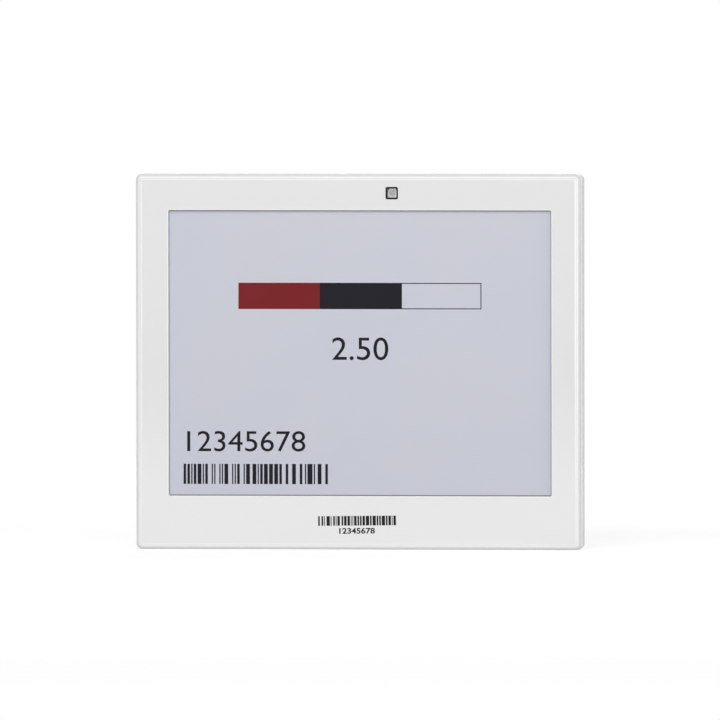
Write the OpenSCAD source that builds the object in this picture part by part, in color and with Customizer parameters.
// Electronic shelf label with an e-paper display, standing on its lower edge.
// Each piece is drawn lying on its back: X to the right, Y up the face and Z from
// the rear face to the front face. stand() turns it upright, with the face to -Y.

/* [Window and margins] */
// Width of the display window
window_w = 120; // [110:0.5:130]
// Height of the display window
window_h = 89; // [84:0.5:100]
// Bezel to the left of the window
left_margin = 10.25; // [9:0.25:16]
// Bezel to the right of the window
right_margin = 9.25; // [8.5:0.25:16]
// Bezel above the window
top_margin = 11.3; // [10.8:0.1:20]
// Bezel below the window
bottom_margin = 16.7; // [16.4:0.1:26]
// Bevel round the front edge of the window
window_bevel = 0.3; // [0.1:0.05:0.5]
// Corner radius of the window
window_r = 0.4; // [0.3:0.1:2]

/* [Shell] */
// Side walls of the bezel and the rear cover
side_wall = 1.5; // [1.2:0.1:2.2]
// Thickness of the bezel's face
face_t = 1.2; // [1:0.1:2]
// Radius of the case's corners, seen from the front
corner_r = 1.9; // [1.9:0.1:6]
// Width of the sloping band round the face
band_w = 1.8; // [1.2:0.1:1.8]
// Fall of the sloping band
band_drop = 0.15; // [0.1:0.05:0.5]
// Width of the rounded rim outside the band
rim_w = 1; // [0.3:0.1:1.1]
// Fall of the rounded rim
rim_drop = 0.9; // [0.4:0.1:1]
// Depth of the bezel's skirt, from the face to the parting line
skirt_d = 5; // [4:0.1:5.2]
// Gap at the parting line
seam_gap = 0.1; // [0.05:0.05:0.2]
// Height of the shadow groove under the parting line
groove_h = 0.35; // [0.2:0.05:0.6]
// Depth of the shadow groove, and height of the chamfer that leads into it
groove_d = 0.3; // [0.1:0.05:0.5]
// Radius of the rounding round the rear face
back_r = 0.8; // [0.4:0.1:1.2]
// Height of the cover's tongue inside the bezel's skirt
tongue_h = 0.7; // [0.4:0.1:0.8]
// Clearance round that tongue
tongue_clear = 0.1; // [0.05:0.05:0.2]
// Catches on the tongue's upper side: width, height and how far they stand out
catch_size = [12, 0.4, 0.35];

/* [Display] */
// Glass outside the window, left and right
glass_side = 2.7; // [1.5:0.1:3]
// Glass above the window
glass_top = 2.25; // [1.5:0.05:2.5]
// Glass below the window, where the driver chip sits
glass_foot = 8.25; // [6:0.05:8.5]
// Thickness of the display's glass
glass_t = 0.7; // [0.5:0.1:1.1]
// How far the e-paper film reaches outside the window
film_lap = 1.2; // [0.8:0.1:1.4]
// Thickness of the e-paper film with its clear front sheet
film_t = 0.5; // [0.3:0.1:0.8]
// Foam between the film and the bezel
gasket_t = 0.3; // [0.2:0.1:0.6]
// How far that foam stays back from the window's edge
gasket_back = 0.3; // [0.1:0.1:0.5]
// Adhesive sheet behind the glass
tape_t = 0.2; // [0.1:0.05:0.4]
// How far the adhesive sheet stays inside the glass
tape_inset = 1; // [0.5:0.5:4]
// Driver chip on the glass: length, width and height
driver_size = [16, 1.6, 0.3];
// Width of the ribbon from the glass to the board
ribbon_w = 22; // [12:1:40]
// Thickness of the ribbon
ribbon_t = 0.15; // [0.1:0.05:0.2]
// Length of ribbon bonded to the glass
ribbon_bond = 1.8; // [1:0.1:2.5]

/* [Tray] */
// Thickness of the tray behind the display
tray_t = 0.6; // [0.5:0.1:1.2]
// Rim of the tray round the glass
rim_t = 0.8; // [0.6:0.1:1]
// Clearance between the glass and the tray's rim
rim_clear = 0.2; // [0.1:0.05:0.3]
// Radius of the pegs that carry the board
peg_r = 1; // [0.8:0.1:1.5]
// How far the pegs stand out behind the board
peg_head = 0.5; // [0.3:0.1:1]
// Clearance round the pegs
peg_clear = 0.1; // [0.05:0.05:0.2]

/* [Indicator] */
// Middle of the light, to the right of the window's middle
led_shift = 10.1; // [-40:0.1:40]
// Middle of the light, above the window
led_rise = 5.4; // [5.2:0.1:5.6]
// Outer side of the black shroud
shroud_side = 3.8; // [3.4:0.1:4]
// Corner radius of the shroud
shroud_r = 0.5; // [0.3:0.1:0.8]
// Wall of the shroud
shroud_wall = 0.45; // [0.3:0.05:0.6]
// Clearance round the shroud and round the light guide
led_clear = 0.05; // [0.03:0.01:0.1]
// How far the shroud lies below the face
shroud_sink = 0.1; // [0:0.05:0.3]
// How far the light guide lies below the face
lens_sink = 0.4; // [0.2:0.1:0.8]
// Height of the light on the board
led_h = 1.9; // [0.7:0.1:1.9]
// Side of the mark cut across one corner of the light
led_mark = 0.6; // [0.3:0.1:0.8]

/* [Circuit board] */
// Thickness of the board
board_t = 0.8; // [0.6:0.1:1.2]
// Board beyond the middle of the outer cells, left and right
board_reach = 14.5; // [13:0.5:15]
// Board below the middle of the cell row
board_below = 16.5; // [16:0.5:20]
// Board above the light's middle
board_above = 2.4; // [2.2:0.1:2.6]
// Width of the board's stem
stem_w = 50; // [44:1:60]
// Stem's lower end, above the lower end of the glass
stem_lift = 1.6; // [1.2:0.1:4]

/* [Cells] */
// Radius of a coin cell
cell_r = 12.25; // [11:0.25:13]
// Height of a coin cell
cell_h = 5; // [4:0.1:5.5]
// Clearance round a cell in its well
cell_clear = 0.25; // [0.15:0.05:0.5]
// Wall between two wells
well_wall = 1; // [0.8:0.1:1.6]
// Middle of the cell row below the top of the case
cell_drop = 23; // [22:0.5:26]
// Space between the board and the cells, for the contacts
contact_h = 0.7; // [0.5:0.1:1.2]
// Thickness of the contact strips
strip_t = 0.2; // [0.15:0.05:0.3]
// Gap between a contact and its cell
contact_gap = 0.05; // [0.02:0.01:0.1]
// Leaf contact under a cell: length and width
leaf_size = [14, 4];
// Side contact at a cell: width, height of its leg and length of its foot
clip_size = [5, 4, 2.4];

/* [Battery door] */
// Thickness of the door and of the rear cover's back
door_t = 1.7; // [1.5:0.1:2.2]
// Door below the wells, and beside them
door_lap = [1.6, 3];
// Tongue along each side of the door: width and thickness
rail_size = [1.3, 0.7];
// Running gap round the door
door_gap = 0.1; // [0.1:0.05:0.2]
// Gap between the cells and the door
cell_gap = 0.3; // [0.2:0.1:1]
// Number of grip grooves
grip_count = 5; // [3:1:7]
// Grip grooves: length, width and depth
grip_size = [26, 1, 0.4];
// Distance from one grip groove to the next
grip_pitch = 2.2; // [1.8:0.1:3]
// Lowest grip groove above the door's lower edge
grip_rise = 5; // [3:0.5:8]
// Arrow above the grip: width, height and depth
arrow_size = [8, 5, 0.3];

/* [Rear cover] */
// Radius of a keyhole's round end
keyhole_r = 3.5; // [3:0.25:5]
// Width of a keyhole's slot
keyhole_slot = 3.8; // [3:0.2:5]
// Length of the slot, from the round end's middle to its own
keyhole_run = 7; // [5:0.5:10]
// Distance between the two keyholes
keyhole_span = 80; // [70:1:90]
// Middle of the keyholes' round ends above the lower edge
keyhole_y = 42; // [30:1:50]
// Room for the screw head behind the wall
keyhole_depth = 1.8; // [1.2:0.1:2.2]
// Wall of the pocket round each keyhole
pocket_wall = 0.8; // [0.6:0.1:1.2]
// Hook slots for a rail clip: length and width
hook_size = [14, 3.2];
// Distance between the hook slots, across and up
hook_span = [44, 38];
// Middle of the hook slots above the lower edge
hook_y = 41; // [38:1:44]
// Plain recess for a sticker: width, height and depth
recess_size = [48, 20, 0.25];
// Radius of the posts that press on the tray
post_r = 1.8; // [1.2:0.1:2.5]
// Middle of the posts inside the side of the case
post_inset = 11.5; // [10:0.5:14]
// Gap between the posts and the tray
post_gap = 0.05; // [0.02:0.01:0.1]

/* [Screws] */
// Radius of a case screw
screw_r = 1; // [0.8:0.1:1.2]
// Clearance round the screw in the rear cover
screw_clear = 0.1; // [0.05:0.05:0.2]
// Clearance round the screw in the bezel's boss
thread_clear = 0.05; // [0.02:0.01:0.05]
// Radius of the screw's head
head_r = 1.9; // [1.6:0.1:2.2]
// Height of the head
head_h = 1.1; // [0.9:0.1:1.3]
// Depth of the sunk seat for the head
seat_d = 1.3; // [1.1:0.1:1.4]
// Middle of the screws inside the side of the case
screw_in_x = 7.75; // [7:0.25:9]
// Middle of the screws above the lower edge of the case
screw_in_y = 5; // [4.6:0.1:5.1]
// Radius of the bezel's bosses
boss_r = 2; // [1.8:0.1:2.1]
// Wall of the rear cover's bosses round the sunk seat
boss_wall = 0.8; // [0.6:0.1:1]
// Gap between the cover's boss and the bezel's boss
boss_gap = 0.1; // [0.05:0.05:0.3]

/* [Pairing button] */
// Radius of the button
button_r = 2.4; // [2:0.1:3]
// Clearance round the button
button_clear = 0.1; // [0.05:0.05:0.2]
// Travel of the button
button_travel = 0.3; // [0.2:0.05:0.3]
// How far the button lies below the rear face
button_sink = 0.3; // [0.1:0.1:0.6]
// Collar that keeps the button in: extra radius and thickness
collar_size = [1, 0.8];
// Gap between the collar and the wall
collar_gap = 0.05; // [0.05:0.05:0.1]

/* [Hidden] */
// Smoothness of round pieces, and of small ones
round_fn = 96;
small_fn = 32;
// Overrun of every cut past the face that it opens
over = 1;
cell_count = 4;

// Outline of the case, from the window and its margins
case_w = window_w + left_margin + right_margin;
case_h = window_h + top_margin + bottom_margin;
window_x = (left_margin - right_margin) / 2;
window_y = bottom_margin + window_h / 2;

// Depth of the case, from the layers between the rear face and the front face
board_back_z = door_t + cell_gap + cell_h + contact_h;
board_z = board_back_z + board_t;
tray_z = board_z + tray_t;
tape_z = tray_z + tape_t;
glass_z = tape_z + glass_t;
film_z = glass_z + film_t;
inner_face_z = film_z + gasket_t;
case_d = inner_face_z + face_t;

// Shell
skirt_z = case_d - skirt_d;
cover_z = skirt_z - seam_gap;
half_wall = side_wall / 2;
inner_r = max(corner_r - side_wall, window_r);
// Catches along the top, as shares of the case's width from its middle
catch_shares = [-0.36, -0.12, 0.12, 0.36];
round_steps = 5;
// The rim turns this far before the sloping band takes over
rim_turn = 45;
rim_z = case_d - band_drop - rim_drop;
bezel_edge = [
    [0, skirt_z],
    for (i = [0:round_steps])
        let (turn = rim_turn * i / round_steps)
        [
            rim_w * (1 - cos(turn)) / (1 - cos(rim_turn)),
            rim_z + rim_drop * sin(turn) / sin(rim_turn)
        ],
    [band_w, case_d]
];
back_round = [
    for (i = [0:round_steps])
        let (turn = 90 * i / round_steps)
        [back_r * (1 - sin(turn)), back_r * (1 - cos(turn))]
];
cover_edge = [
    each back_round,
    [0, cover_z - groove_h - groove_d],
    [groove_d, cover_z - groove_h],
    [groove_d, cover_z]
];
case_size = [case_w, case_h];

// Display
glass_size = [window_w + 2 * glass_side, window_h + glass_top + glass_foot];
glass_y0 = bottom_margin - glass_foot;
glass_y = glass_y0 + glass_size[1] / 2;
film_size = [window_w + 2 * film_lap, window_h + 2 * film_lap];
film_y0 = bottom_margin - film_lap;
tray_size = [
    glass_size[0] + 2 * (rim_clear + rim_t),
    glass_size[1] + 2 * (rim_clear + rim_t)
];
driver_rise_share = 0.62;

// Indicator
led_x = window_x + led_shift;
led_y = bottom_margin + window_h + led_rise;
lens_side = shroud_side - 2 * (shroud_wall + led_clear);

// Cells
cell_z = door_t + cell_gap;
cell_top_z = cell_z + cell_h;
cells_y = case_h - cell_drop;
well_r = cell_r + cell_clear;
cell_pitch = 2 * well_r + well_wall;
cells_span = (cell_count - 1) * cell_pitch;
cell_edge = 0.4;
cap_step = 0.5;
cap_inset = 1.6;
cap_r = cell_r - cap_inset;
well_top_z = cell_top_z - strip_t;
// The leaf touches its cell along this share of its length
leaf_tip_share = 0.15;
leaf_root_share = 0.45;

// Board
bar_w = cells_span + 2 * board_reach;
bar_y0 = cells_y - board_below;
board_y1 = led_y + board_above;
stem_y0 = glass_y0 + stem_lift;
stem_h = bar_y0 - stem_y0;
peg_places = [
    for (side = [-1, 1])
    each [
        [side * (bar_w / 2 - 2 * peg_r), bar_y0 + 2 * peg_r],
        [side * (stem_w / 2 - 2 * peg_r), stem_y0 + 4 * peg_r]
    ]
];

// Ribbon: its back run enters the connector at this height above the board's back
ribbon_entry = 0.7;
ribbon_back_z = board_back_z - ribbon_entry;
ribbon_clear = 0.1;
bend_out = (glass_z + ribbon_t - ribbon_back_z) / 2;
bend_y = glass_y0 - ribbon_clear;
bend_z = ribbon_back_z + bend_out;
notch_side = 0.6;
// Connector beyond the ribbon's sides, and above the stem's lower end
connector_ear = 2;
connector_rise = 1.4;
connector_size = [ribbon_w + 2 * connector_ear, 4, 1.2];
connector_y0 = stem_y0 + connector_rise;
ribbon_reach = 2;

// Parts on the back of the board, placed as shares of the stem's width and height
radio_size = [7, 7, 0.9];
radio_shares = [-0.12, 0.52];
memory_size = [5, 4, 0.8];
memory_shares = [0.22, 0.55];
crystal_size = [3.2, 2.5, 0.7];
crystal_shares = [-0.12, 0.66];
inductor_r = 2.4;
inductor_h = 1.8;
inductor_shares = [0.3, 0.26];
antenna_size = [2.2, 9, 1];
antenna_shares = [-0.43, 0.38];
switch_size = [4.6, 4.6, 1.4];
switch_shares = [-0.3, 0.82];
plunger_r = 1;
plunger_h = 0.5;
capacitor_size = [1.6, 0.8, 0.8];
capacitor_shares = [
    [-0.28, 0.46], [-0.28, 0.50], [-0.28, 0.54], [-0.28, 0.58],
    [0.04, 0.46], [0.04, 0.50], [0.04, 0.54], [0.04, 0.58],
    [-0.3, 0.17], [-0.2, 0.17], [-0.1, 0.17], [0, 0.17], [0.1, 0.17]
];
resistor_size = [1, 0.5, 0.4];
resistor_shares = [
    [0.14, 0.70], [0.2, 0.70], [0.26, 0.70], [0.32, 0.70],
    [0.14, 0.74], [0.2, 0.74], [0.26, 0.74], [0.32, 0.74]
];
button_x = switch_shares[0] * stem_w;
button_y = stem_y0 + switch_shares[1] * stem_h;
plunger_z = board_back_z - switch_size[2] - plunger_h;

// Battery door
door_w = cells_span + 2 * (well_r + door_lap[0]);
door_y0 = cells_y - well_r - door_lap[1];
floor_z = door_t + door_gap;
floor_t = 1.2;
door_frame = 1.5;

// Rear cover
keyhole_floor = 0.8;
pocket_z = door_t + keyhole_depth;
post_height_shares = [0.24, 0.5];
recess_r = 1;
screw_seat_r = head_r + 2 * screw_clear;
cover_boss_r = screw_seat_r + boss_wall;
boss_split_z = board_back_z;
screw_z1 = inner_face_z - 2 * screw_clear;
screw_places = [
    for (side = [-1, 1]) [side * (case_w / 2 - screw_in_x), screw_in_y]
];
cross_size = [2.2, 0.5, 0.6];

// Turns a piece that lies on its back upright, centred on the case's depth
module stand() {
    translate([0, case_d / 2, 0])
        rotate([90, 0, 0])
            children();
}

module at_case_middle() {
    translate([0, case_h / 2, 0])
        children();
}

// A block from z0 to z1, centred on a place across the face
module block(size, place, z0, z1) {
    translate([place[0] - size[0] / 2, place[1] - size[1] / 2, z0])
        cube([size[0], size[1], z1 - z0]);
}

// A round bar from z0 to z1 at a place across the face
module bar(r, place, z0, z1, fn = small_fn) {
    translate([place[0], place[1], z0])
        cylinder(r = r, h = z1 - z0, $fn = fn);
}

// A slab with round corners, whose edge runs through [inset, height] points
module edged_slab(size, r, edge) {
    last = len(edge) - 1;
    function side(half) = concat(
        [for (p = edge) [half - p[0], p[1]]],
        [for (i = [last:-1:0]) [edge[i][0] - half, edge[i][1]]]
    );
    rotate([90, 0, 0])
        linear_extrude(size[1] - 2 * r, center = true)
            polygon(side(size[0] / 2));
    rotate([90, 0, 90])
        linear_extrude(size[0] - 2 * r, center = true)
            polygon(side(size[1] / 2));
    for (sx = [-1, 1], sy = [-1, 1])
        translate([sx * (size[0] / 2 - r), sy * (size[1] / 2 - r), 0])
            rotate_extrude($fn = small_fn)
                polygon([
                    [0, edge[0][1]],
                    for (p = edge) [r - p[0], p[1]],
                    [0, edge[last][1]]
                ]);
}

// A block with round corners, centred on a place across the face
module round_block(size, r, place, z0, z1) {
    translate([place[0], place[1], 0])
        edged_slab(size, r, [[0, z0], [0, z1]]);
}

// An outline in Y and Z, drawn out along X about the middle x
module along_x(width, x) {
    translate([x, 0, 0])
        rotate([90, 0, 90])
            linear_extrude(width, center = true)
                children();
}

function inset(size, by) = [size[0] - 2 * by, size[1] - 2 * by];
function on_stem(shares) = [shares[0] * stem_w, stem_y0 + shares[1] * stem_h];
function cell_x(i) = (i - (cell_count + 1) / 2) * cell_pitch;

// The catches on the cover's tongue, or the pockets for them with a clearance
module catches(clear) {
    low = cover_z + tongue_h - catch_size[1];
    reach = catch_size[2] + 2 * clear;
    for (share = catch_shares)
        block(
            [catch_size[0] + 2 * clear, 2 * reach],
            [share * case_w, case_h - half_wall - tongue_clear],
            low - clear, low + catch_size[1] + clear
        );
}

module front_bezel() {
    middle = [0, case_h / 2];
    color("whitesmoke")
        stand()
            difference() {
                union() {
                    difference() {
                        at_case_middle()
                            edged_slab(case_size, corner_r, bezel_edge);
                        round_block(
                            inset(case_size, side_wall), inner_r, middle,
                            skirt_z - over, inner_face_z
                        );
                        // Room for the rear cover's tongue
                        round_block(
                            inset(case_size, half_wall), corner_r - half_wall, middle,
                            skirt_z - over, cover_z + tongue_h + tongue_clear
                        );
                    }
                    for (p = screw_places)
                        bar(boss_r, p, boss_split_z + boss_gap, inner_face_z + face_t / 2);
                }
                catches(tongue_clear);
                window_cut();
                round_block(
                    [shroud_side + 2 * led_clear, shroud_side + 2 * led_clear],
                    shroud_r + led_clear, [led_x, led_y],
                    skirt_z, case_d + over
                );
                for (p = screw_places)
                    bar(screw_r + thread_clear, p, boss_split_z - over, inner_face_z);
            }
}

// The window's opening, with its bevelled front edge
module window_cut() {
    translate([window_x, window_y, 0])
        edged_slab([window_w, window_h], window_r, [
            [0, inner_face_z - over],
            [0, case_d - window_bevel],
            [-window_bevel, case_d],
            [-window_bevel, case_d + over]
        ]);
}

module display_gasket() {
    color("dimgray")
        stand()
            difference() {
                block(film_size, [window_x, window_y], film_z, inner_face_z);
                block(
                    [window_w + 2 * gasket_back, window_h + 2 * gasket_back],
                    [window_x, window_y], film_z - over, inner_face_z + over
                );
            }
}

module display_film() {
    color([0.78, 0.79, 0.83])
        stand()
            block(film_size, [window_x, window_y], glass_z, film_z);
}

module display_glass() {
    color([0.55, 0.6, 0.62])
        stand()
            block(glass_size, [window_x, glass_y], tape_z, glass_z);
}

module display_tape() {
    color([0.2, 0.2, 0.22])
        stand()
            block(inset(glass_size, tape_inset), [window_x, glass_y], tray_z, tape_z);
}

module driver_chip() {
    ledge = film_y0 - glass_y0;
    color([0.12, 0.12, 0.14])
        stand()
            block(
                driver_size, [window_x, glass_y0 + driver_rise_share * ledge],
                glass_z, glass_z + driver_size[2]
            );
}

// The ribbon leaves the glass's front, bends round its lower edge and comes back up
module display_ribbon() {
    back_end = connector_y0 + ribbon_reach;
    color([0.75, 0.45, 0.12])
        stand()
            along_x(ribbon_w, window_x)
                union() {
                    translate([bend_y, glass_z])
                        square([glass_y0 + ribbon_bond - bend_y, ribbon_t]);
                    translate([bend_y, ribbon_back_z])
                        square([back_end - bend_y, ribbon_t]);
                    translate([bend_y, bend_z])
                        difference() {
                            circle(r = bend_out, $fn = small_fn);
                            circle(r = bend_out - ribbon_t, $fn = small_fn);
                            translate([0, -bend_out - over])
                                square(2 * (bend_out + over));
                        }
                }
}

module display_tray() {
    place = [window_x, glass_y];
    color([0.83, 0.84, 0.85])
        stand()
            difference() {
                union() {
                    difference() {
                        block(tray_size, place, board_z, inner_face_z);
                        block(inset(tray_size, rim_t), place, tray_z, inner_face_z + over);
                    }
                    for (p = peg_places)
                        bar(peg_r, p, board_back_z - peg_head, board_z + tray_t / 2);
                }
                // Way round the lower edge for the ribbon
                block(
                    [ribbon_w + 2 * notch_side, 2 * (glass_y0 + ribbon_clear)],
                    [window_x, 0], board_z - over, inner_face_z + over
                );
                for (p = screw_places)
                    bar(boss_r + rim_clear, p, board_z - over, inner_face_z + over);
            }
}

module led_shroud() {
    side = shroud_side - 2 * shroud_wall;
    color([0.06, 0.06, 0.06])
        stand()
            difference() {
                round_block(
                    [shroud_side, shroud_side], shroud_r, [led_x, led_y],
                    board_z, case_d - shroud_sink
                );
                block([side, side], [led_x, led_y], board_z - over, case_d + over);
            }
}

module light_guide() {
    color([0.85, 0.87, 0.88])
        stand()
            block(
                [lens_side, lens_side], [led_x, led_y],
                board_z + led_h + led_clear, case_d - lens_sink
            );
}

// The light's package fills the shroud, with a round cup and a marked upper corner
module led_chip() {
    cup_r_share = 0.36;
    cup_d_share = 0.2;
    mark_h_share = 0.3;
    top = board_z + led_h;
    color([0.93, 0.93, 0.9])
        stand()
            difference() {
                block([lens_side, lens_side], [led_x, led_y], board_z, top);
                bar(cup_r_share * lens_side, [led_x, led_y], top - cup_d_share * led_h, top + over);
                translate([led_x - lens_side / 2, led_y + lens_side / 2, 0])
                    rotate(45)
                        block([led_mark, led_mark], [0, 0], top - mark_h_share * led_h, top + over);
            }
}

module circuit_board() {
    bar_h = board_y1 - bar_y0;
    color([0.05, 0.35, 0.18])
        stand()
            difference() {
                union() {
                    block([bar_w, bar_h], [0, bar_y0 + bar_h / 2], board_back_z, board_z);
                    block(
                        [stem_w, stem_h + over], [0, stem_y0 + (stem_h + over) / 2],
                        board_back_z, board_z
                    );
                }
                for (p = peg_places)
                    bar(peg_r + peg_clear, p, board_back_z - over, board_z + over);
            }
}

module ribbon_connector() {
    middle = [window_x, connector_y0 + connector_size[1] / 2];
    low = board_back_z - connector_size[2];
    mouth = ribbon_reach + ribbon_clear;
    color([0.9, 0.88, 0.8])
        stand()
            difference() {
                block(connector_size, middle, low, board_back_z);
                block(
                    [ribbon_w + 2 * ribbon_clear, 2 * mouth], [window_x, connector_y0],
                    ribbon_back_z - ribbon_clear / 2,
                    ribbon_back_z + ribbon_t + ribbon_clear / 2
                );
            }
}

// A part soldered to the back of the board
module back_part(size, shares) {
    block(size, on_stem(shares), board_back_z - size[2], board_back_z);
}

module radio_chip() {
    color([0.1, 0.1, 0.12])
        stand()
            back_part(radio_size, radio_shares);
}

module memory_chip() {
    leg_size = [0.45, 0.25, 0.3];
    leg_pitch = 0.76;
    leg_row = 1.5;
    color([0.14, 0.14, 0.15])
        stand()
            union() {
                back_part(memory_size, memory_shares);
                for (side = [-1, 1], i = [-leg_row:leg_row])
                    translate([side * memory_size[0] / 2, i * leg_pitch, 0])
                        back_part([2 * leg_size[0], leg_size[1], leg_size[2]], memory_shares);
            }
}

module crystal() {
    color([0.78, 0.78, 0.76])
        stand()
            back_part(crystal_size, crystal_shares);
}

module boost_inductor() {
    foot_share = 0.35;
    place = on_stem(inductor_shares);
    base_h = foot_share * inductor_h;
    color([0.25, 0.25, 0.27])
        stand()
            union() {
                block(
                    [2 * inductor_r, 2 * inductor_r], place,
                    board_back_z - base_h, board_back_z
                );
                bar(inductor_r, place, board_back_z - inductor_h, board_back_z - base_h);
            }
}

module capacitors() {
    color([0.62, 0.5, 0.36])
        stand()
            for (shares = capacitor_shares)
                back_part(capacitor_size, shares);
}

module resistors() {
    color([0.12, 0.12, 0.12])
        stand()
            for (shares = resistor_shares)
                back_part(resistor_size, shares);
}

module chip_antenna() {
    color([0.9, 0.9, 0.86])
        stand()
            back_part(antenna_size, antenna_shares);
}

module tact_switch() {
    color([0.7, 0.7, 0.7])
        stand()
            union() {
                back_part(switch_size, switch_shares);
                bar(
                    plunger_r, [button_x, button_y],
                    plunger_z, board_back_z - switch_size[2]
                );
            }
}

// Sprung strips on the board, one under each cell
module leaf_contacts() {
    half = leaf_size[0] / 2;
    root = leaf_root_share * leaf_size[0] - half;
    bend = half - leaf_tip_share * leaf_size[0];
    low = cell_top_z + contact_gap;
    color([0.8, 0.78, 0.7])
        stand()
            for (i = [1:cell_count])
                translate([cell_x(i), cells_y + leaf_size[1] / 2, 0])
                    rotate([90, 0, 0])
                        linear_extrude(leaf_size[1])
                            polygon([
                                [-half, board_back_z],
                                [root, board_back_z],
                                [bend, low + strip_t],
                                [half, low + strip_t],
                                [half, low],
                                [bend, low],
                                [root, board_back_z - strip_t],
                                [-half, board_back_z - strip_t]
                            ]);
}

// Bent strips on the board, one against the side of each cell
module side_contacts() {
    near = cells_y - cell_r - contact_gap;
    color([0.82, 0.8, 0.72])
        stand()
            for (i = [1:cell_count])
                along_x(clip_size[0], cell_x(i))
                    union() {
                        translate([near - strip_t, board_back_z - clip_size[1]])
                            square([strip_t, clip_size[1]]);
                        translate([near - clip_size[2], board_back_z - strip_t])
                            square([clip_size[2], strip_t]);
                    }
}

// A coin cell, with its flat can to the rear and its smaller cap to the board
module coin_cell(i) {
    color([0.75, 0.76, 0.77])
        stand()
            translate([cell_x(i), cells_y, cell_z])
                rotate_extrude($fn = round_fn)
                    polygon([
                        [0, 0],
                        [cell_r - cell_edge, 0],
                        [cell_r, cell_edge],
                        [cell_r, cell_h - cap_step - cell_edge],
                        [cell_r - cell_edge, cell_h - cap_step],
                        [cap_r, cell_h - cap_step],
                        [cap_r, cell_h],
                        [0, cell_h]
                    ]);
}

// The shell of the rear cover, with its back and its tongue
module cover_shell() {
    middle = [0, case_h / 2];
    difference() {
        union() {
            at_case_middle()
                edged_slab(case_size, corner_r, cover_edge);
            round_block(
                inset(case_size, half_wall + tongue_clear), corner_r - half_wall, middle,
                cover_z - groove_h, cover_z + tongue_h
            );
            catches(0);
        }
        round_block(
            inset(case_size, side_wall), inner_r, middle,
            door_t, case_d
        );
    }
}

// Floor and rings of the four battery wells, before they are bored
module well_frame() {
    low = door_t / 2;
    top = case_h - half_wall;
    frame_w = door_w + 2 * (rail_size[0] + door_gap + door_frame);
    frame_y0 = door_y0 - door_gap - door_frame;
    translate([-frame_w / 2, frame_y0, low])
        cube([frame_w, top - frame_y0, floor_z + floor_t - low]);
    for (i = [1:cell_count])
        bar(well_r + well_wall, [cell_x(i), cells_y], floor_z, well_top_z, round_fn);
}

// Bores of the wells, and the way out of each ring for its side contact
module well_cuts() {
    for (i = [1:cell_count]) {
        bar(well_r, [cell_x(i), cells_y], 0, case_d, round_fn);
        block(
            [clip_size[0] + 4 * cell_clear, 2 * (well_r + well_wall)],
            [cell_x(i), cells_y - well_r - well_wall],
            floor_z + floor_t, case_d
        );
    }
}

// The way that the door slides in, with a groove along each side
module door_way() {
    low = door_y0 - door_gap;
    plate_w = door_w + 2 * door_gap;
    groove_w = plate_w + 2 * rail_size[0];
    translate([-plate_w / 2, low, -over])
        cube([plate_w, case_h - low + over, floor_z + over]);
    translate([-groove_w / 2, low, door_t - rail_size[1] - door_gap])
        cube([groove_w, case_h - low + over, rail_size[1] + 2 * door_gap]);
}

module keyhole_cut(x) {
    bar(keyhole_r, [x, keyhole_y], -over, pocket_z);
    block(
        [keyhole_slot, keyhole_run], [x, keyhole_y + keyhole_run / 2],
        -over, pocket_z
    );
    bar(keyhole_slot / 2, [x, keyhole_y + keyhole_run], -over, pocket_z);
    block(
        keyhole_pocket(0), [x, keyhole_y + keyhole_run / 2],
        door_t, pocket_z
    );
}

function keyhole_pocket(wall) = [
    2 * (keyhole_r + wall),
    keyhole_run + 2 * (keyhole_r + wall)
];

module rear_cover() {
    color([0.93, 0.93, 0.93])
        stand()
            difference() {
                union() {
                    cover_shell();
                    well_frame();
                    for (side = [-1, 1])
                        block(
                            keyhole_pocket(pocket_wall),
                            [side * keyhole_span / 2, keyhole_y + keyhole_run / 2],
                            door_t / 2, pocket_z + keyhole_floor
                        );
                    for (p = screw_places)
                        bar(cover_boss_r, p, door_t / 2, boss_split_z);
                    for (side = [-1, 1], share = post_height_shares)
                        bar(
                            post_r, [side * (case_w / 2 - post_inset), share * case_h],
                            door_t / 2, board_z - post_gap
                        );
                }
                well_cuts();
                door_way();
                for (side = [-1, 1])
                    keyhole_cut(side * keyhole_span / 2);
                for (p = screw_places) {
                    bar(screw_seat_r, p, -over, seat_d);
                    bar(screw_r + screw_clear, p, -over, case_d);
                }
                for (sx = [-1, 1], sy = [-1, 1])
                    block(
                        hook_size, [sx * hook_span[0] / 2, hook_y + sy * hook_span[1] / 2],
                        -over, door_t + over
                    );
                round_block(recess_size, recess_r, [0, hook_y], -over, recess_size[2]);
                bar(button_r + button_clear, [button_x, button_y], -over, door_t + over);
            }
}

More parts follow.
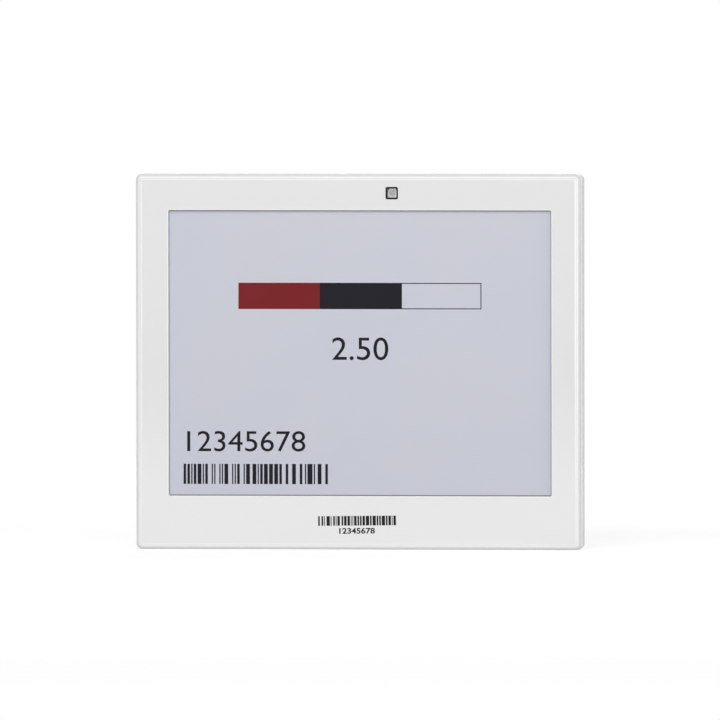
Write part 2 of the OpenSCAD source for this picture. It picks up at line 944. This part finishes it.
module battery_door() {
    grip_y0 = door_y0 + grip_rise;
    arrow_y0 = grip_y0 + grip_count * grip_pitch;
    color([0.93, 0.93, 0.93])
        stand()
            difference() {
                union() {
                    along_x(door_w, 0)
                        polygon([
                            [door_y0, 0],
                            for (p = back_round) [case_h - p[0], p[1]],
                            [case_h, door_t],
                            [door_y0, door_t]
                        ]);
                    translate([-door_w / 2 - rail_size[0], door_y0, door_t - rail_size[1]])
                        cube([door_w + 2 * rail_size[0], case_h - door_y0, rail_size[1]]);
                }
                for (i = [0:grip_count - 1])
                    block(
                        [grip_size[0], grip_size[1]], [0, grip_y0 + i * grip_pitch],
                        -over, grip_size[2]
                    );
                translate([0, arrow_y0, -over])
                    linear_extrude(over + arrow_size[2])
                        polygon([
                            [-arrow_size[0] / 2, 0],
                            [arrow_size[0] / 2, 0],
                            [0, arrow_size[1]]
                        ]);
            }
}

// A push button through the rear wall, over the board's switch
module pairing_button() {
    place = [button_x, button_y];
    collar_z = door_t + collar_gap;
    color([0.55, 0.56, 0.58])
        stand()
            union() {
                bar(button_r, place, button_sink, plunger_z - button_travel - contact_gap);
                bar(button_r + collar_size[0], place, collar_z, collar_z + collar_size[1]);
            }
}

module case_screws() {
    color([0.6, 0.6, 0.62])
        stand()
            for (p = screw_places)
                difference() {
                    union() {
                        bar(head_r, p, seat_d - head_h, seat_d);
                        bar(screw_r, p, seat_d - head_h / 2, screw_z1);
                    }
                    block(cross_size, p, -over, seat_d - head_h + cross_size[2]);
                    block(
                        [cross_size[1], cross_size[0]], p,
                        -over, seat_d - head_h + cross_size[2]
                    );
                }
}

front_bezel();
display_gasket();
display_film();
display_glass();
display_tape();
driver_chip();
display_ribbon();
display_tray();
led_shroud();
light_guide();
led_chip();
circuit_board();
ribbon_connector();
radio_chip();
memory_chip();
crystal();
boost_inductor();
capacitors();
resistors();
chip_antenna();
tact_switch();
leaf_contacts();
side_contacts();
for (i = [1:cell_count])
    coin_cell(i);
rear_cover();
battery_door();
pairing_button();
case_screws();
